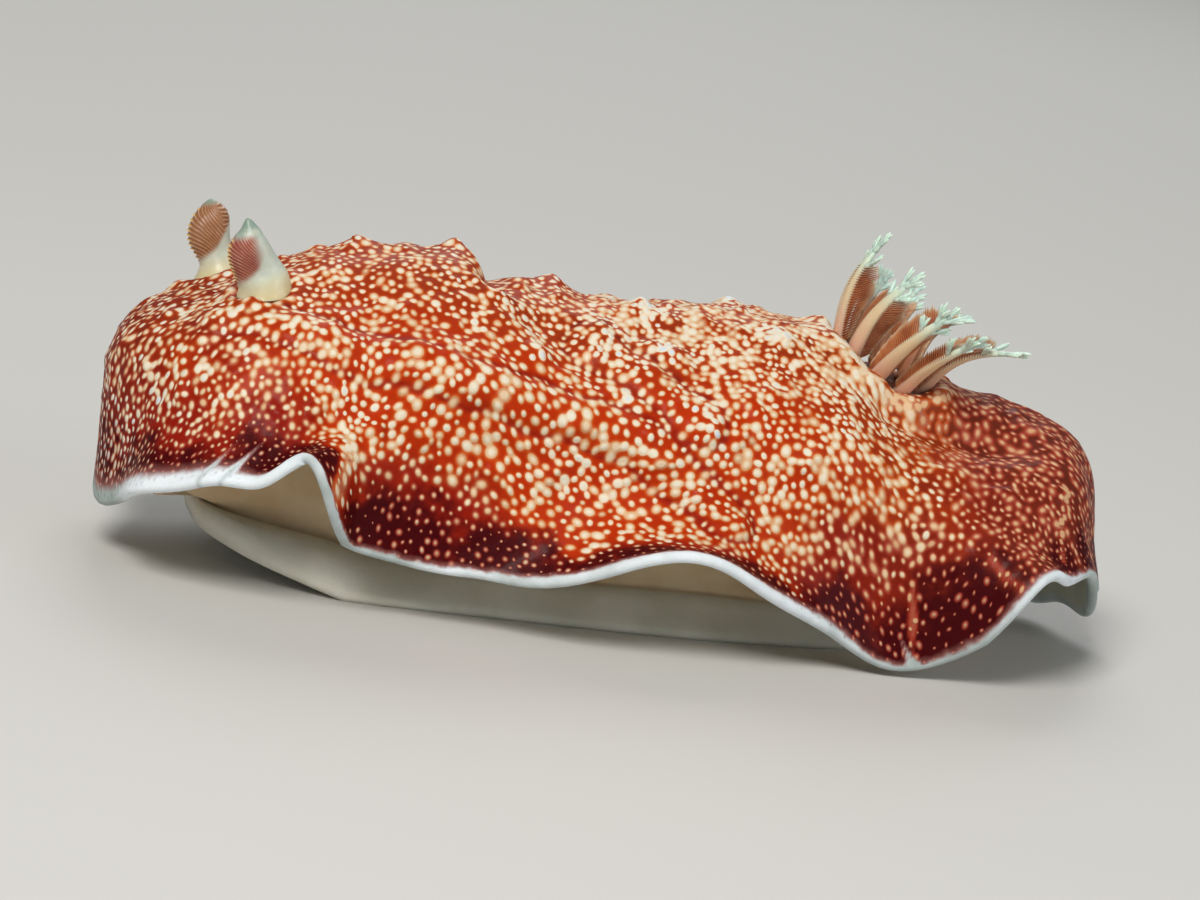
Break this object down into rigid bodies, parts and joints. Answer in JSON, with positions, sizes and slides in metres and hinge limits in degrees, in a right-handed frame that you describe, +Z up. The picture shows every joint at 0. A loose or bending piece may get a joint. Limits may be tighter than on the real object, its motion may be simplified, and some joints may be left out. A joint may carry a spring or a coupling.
{
  "type": "red-netted goniobranch sea slug",
  "caption": "Life-size crawling sea slug with a red netted, pale-spotted mantle, a lifted wavy white-edged rim, clubbed rhinophores and a plume of gills.",
  "frame": {"origin": "point of the flat sole under the middle of the animal", "axes": "+Z up from the sole, head towards -X, tail towards +X, the animal's left side towards -Y"},
  "size_m": [0.0631, 0.0315, 0.0244],
  "materials": {
    "mantle": "moist gloss",
    "skirt": "moist gloss",
    "flesh": "moist gloss",
    "foot": "moist gloss",
    "rhinophore": "moist satin",
    "gill": "moist satin"
  },
  "bodies": {
    "root": {"mantle_head": "mantle", "mantle_back": "mantle", "mantle_gill": "mantle", "skirt_head": "skirt", "skirt_left_front": "skirt", "skirt_left_middle": "skirt", "skirt_left_rear": "skirt", "skirt_tail": "skirt", "skirt_right_rear": "skirt", "skirt_right_middle": "skirt", "skirt_right_front": "skirt", "head": "flesh", "oral_tentacle_left": "flesh", "oral_tentacle_right": "flesh", "body_front": "flesh", "body_middle": "flesh", "body_rear": "flesh", "foot_front": "foot", "foot_middle": "foot", "tail": "foot", "rhinophore_left": "rhinophore", "rhinophore_right": "rhinophore", "gill_1": "gill", "gill_2": "gill", "gill_3": "gill", "gill_4": "gill", "gill_5": "gill", "gill_6": "gill", "gill_7": "gill", "gill_8": "gill", "gill_9": "gill"}
  },
  "joints": []
}
